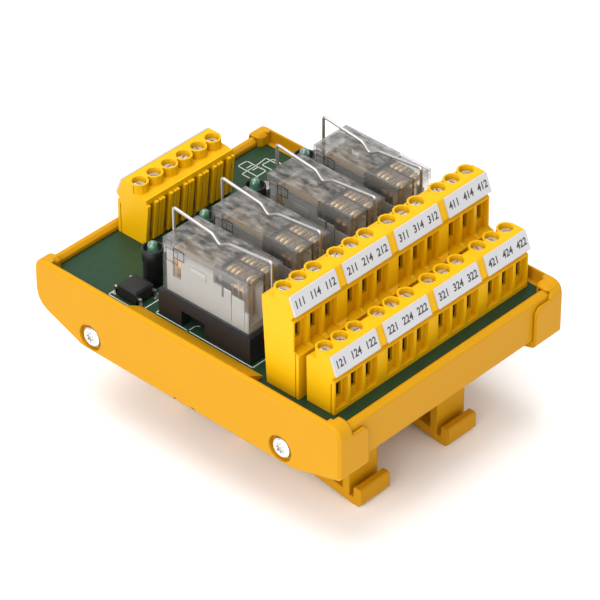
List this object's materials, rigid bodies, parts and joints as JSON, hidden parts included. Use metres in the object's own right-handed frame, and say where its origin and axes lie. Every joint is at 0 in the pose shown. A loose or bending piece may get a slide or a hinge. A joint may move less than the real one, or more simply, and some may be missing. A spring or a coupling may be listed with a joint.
{
  "type": "relay interface module",
  "caption": "Rail-mounted relay interface module: a circuit board with clipped plug-in relays and stepped rows of screw terminals in a snap-in channel.",
  "frame": {"origin": "middle of the module in plan, on the plane that the rail feet stand on", "axes": "+X along the mounting rail, -Y to the output terminals, +Z away from the rail"},
  "size_m": [0.0794, 0.1006, 0.0645],
  "materials": {
    "housing": "satin moulded plastic",
    "screw_steel": "bright plated steel",
    "board": "green solder resist",
    "socket": "charcoal moulded plastic",
    "carrier": "beige moulded plastic",
    "clear_cover": "clear polished plastic",
    "coil": "lacquered copper winding",
    "soft_iron": "plated soft iron",
    "comb": "amber moulded plastic",
    "contact": "bright copper alloy",
    "spring_wire": "bright drawn wire",
    "terminal": "satin moulded plastic",
    "clamp": "plated steel",
    "marker": "matt white plastic",
    "led": "green tinted lens",
    "spacer": "black moulded plastic",
    "capacitor": "dark sleeve",
    "rectifier": "black moulded plastic"
  },
  "bodies": {
    "module": {"profile_channel": "housing", "end_plate_left": "housing", "end_plate_right": "housing", "rail_foot_1": "housing", "rail_foot_2": "housing", "end_plate_screws": "screw_steel", "terminal_screws": "screw_steel", "circuit_board": "board", "relay_socket_1": "socket", "relay_base_1": "carrier", "relay_cover_1": "clear_cover", "relay_coil_1": "coil", "relay_contacts_1": "contact", "retaining_clip_1": "spring_wire", "lower_terminal_1": "terminal", "upper_terminal_1": "terminal", "relay_socket_2": "socket", "relay_base_2": "carrier", "relay_cover_2": "clear_cover", "relay_coil_2": "coil", "relay_contacts_2": "contact", "retaining_clip_2": "spring_wire", "lower_terminal_2": "terminal", "upper_terminal_2": "terminal", "relay_socket_3": "socket", "relay_base_3": "carrier", "relay_cover_3": "clear_cover", "relay_coil_3": "coil", "relay_contacts_3": "contact", "retaining_clip_3": "spring_wire", "lower_terminal_3": "terminal", "upper_terminal_3": "terminal", "relay_socket_4": "socket", "relay_base_4": "carrier", "relay_cover_4": "clear_cover", "relay_coil_4": "coil", "relay_contacts_4": "contact", "retaining_clip_4": "spring_wire", "lower_terminal_4": "terminal", "upper_terminal_4": "terminal", "input_terminal_1": "terminal", "input_terminal_2": "terminal", "terminal_clamps": "clamp", "marker_strips": "marker", "led_indicators": "led", "led_spacers": "spacer", "capacitors": "capacitor", "bridge_rectifiers": "rectifier"},
    "armature_1": {"relay_armature_1": "soft_iron"},
    "comb_1": {"relay_comb_1": "comb"},
    "springs_1": {"relay_springs_1": "contact"},
    "armature_2": {"relay_armature_2": "soft_iron"},
    "comb_2": {"relay_comb_2": "comb"},
    "springs_2": {"relay_springs_2": "contact"},
    "armature_3": {"relay_armature_3": "soft_iron"},
    "comb_3": {"relay_comb_3": "comb"},
    "springs_3": {"relay_springs_3": "contact"},
    "armature_4": {"relay_armature_4": "soft_iron"},
    "comb_4": {"relay_comb_4": "comb"},
    "springs_4": {"relay_springs_4": "contact"}
  },
  "joints": [
    {"name": "armature_1_swing", "type": "hinge", "parent": "module", "child": "armature_1", "pos_m": [-0.02564, -0.0026, 0.047], "axis": [-1, 0, 0], "range_deg": [0, 4], "stiffness_Nm_per_rad": 0.01, "springref_deg": -5.73},
    {"name": "comb_1_slide", "type": "slide", "parent": "module", "child": "comb_1", "axis": [0, 1, 0], "range_m": [0, 0.0007]},
    {"name": "springs_1_flex", "type": "hinge", "parent": "module", "child": "springs_1", "pos_m": [-0.02564, -0.0091, 0.04625], "axis": [-1, 0, 0], "range_deg": [0, 4]},
    {"name": "armature_2_swing", "type": "hinge", "parent": "module", "child": "armature_2", "pos_m": [-0.00912, -0.0026, 0.047], "axis": [-1, 0, 0], "range_deg": [0, 4], "stiffness_Nm_per_rad": 0.01, "springref_deg": -5.73},
    {"name": "comb_2_slide", "type": "slide", "parent": "module", "child": "comb_2", "axis": [0, 1, 0], "range_m": [0, 0.0007]},
    {"name": "springs_2_flex", "type": "hinge", "parent": "module", "child": "springs_2", "pos_m": [-0.00912, -0.0091, 0.04625], "axis": [-1, 0, 0], "range_deg": [0, 4]},
    {"name": "armature_3_swing", "type": "hinge", "parent": "module", "child": "armature_3", "pos_m": [0.00992, -0.0026, 0.047], "axis": [-1, 0, 0], "range_deg": [0, 4], "stiffness_Nm_per_rad": 0.01, "springref_deg": -5.73},
    {"name": "comb_3_slide", "type": "slide", "parent": "module", "child": "comb_3", "axis": [0, 1, 0], "range_m": [0, 0.0007]},
    {"name": "springs_3_flex", "type": "hinge", "parent": "module", "child": "springs_3", "pos_m": [0.00992, -0.0091, 0.04625], "axis": [-1, 0, 0], "range_deg": [0, 4]},
    {"name": "armature_4_swing", "type": "hinge", "parent": "module", "child": "armature_4", "pos_m": [0.02644, -0.0026, 0.047], "axis": [-1, 0, 0], "range_deg": [0, 4], "stiffness_Nm_per_rad": 0.01, "springref_deg": -5.73},
    {"name": "comb_4_slide", "type": "slide", "parent": "module", "child": "comb_4", "axis": [0, 1, 0], "range_m": [0, 0.0007]},
    {"name": "springs_4_flex", "type": "hinge", "parent": "module", "child": "springs_4", "pos_m": [0.02644, -0.0091, 0.04625], "axis": [-1, 0, 0], "range_deg": [0, 4]}
  ],
  "couplings": [
    {"joint": "comb_1_slide", "follows": "armature_1_swing", "m_per_rad": 0.00995},
    {"joint": "springs_1_flex", "follows": "armature_1_swing", "ratio": 0.98},
    {"joint": "comb_2_slide", "follows": "armature_2_swing", "m_per_rad": 0.00995},
    {"joint": "springs_2_flex", "follows": "armature_2_swing", "ratio": 0.98},
    {"joint": "comb_3_slide", "follows": "armature_3_swing", "m_per_rad": 0.00995},
    {"joint": "springs_3_flex", "follows": "armature_3_swing", "ratio": 0.98},
    {"joint": "comb_4_slide", "follows": "armature_4_swing", "m_per_rad": 0.00995},
    {"joint": "springs_4_flex", "follows": "armature_4_swing", "ratio": 0.98}
  ]
}
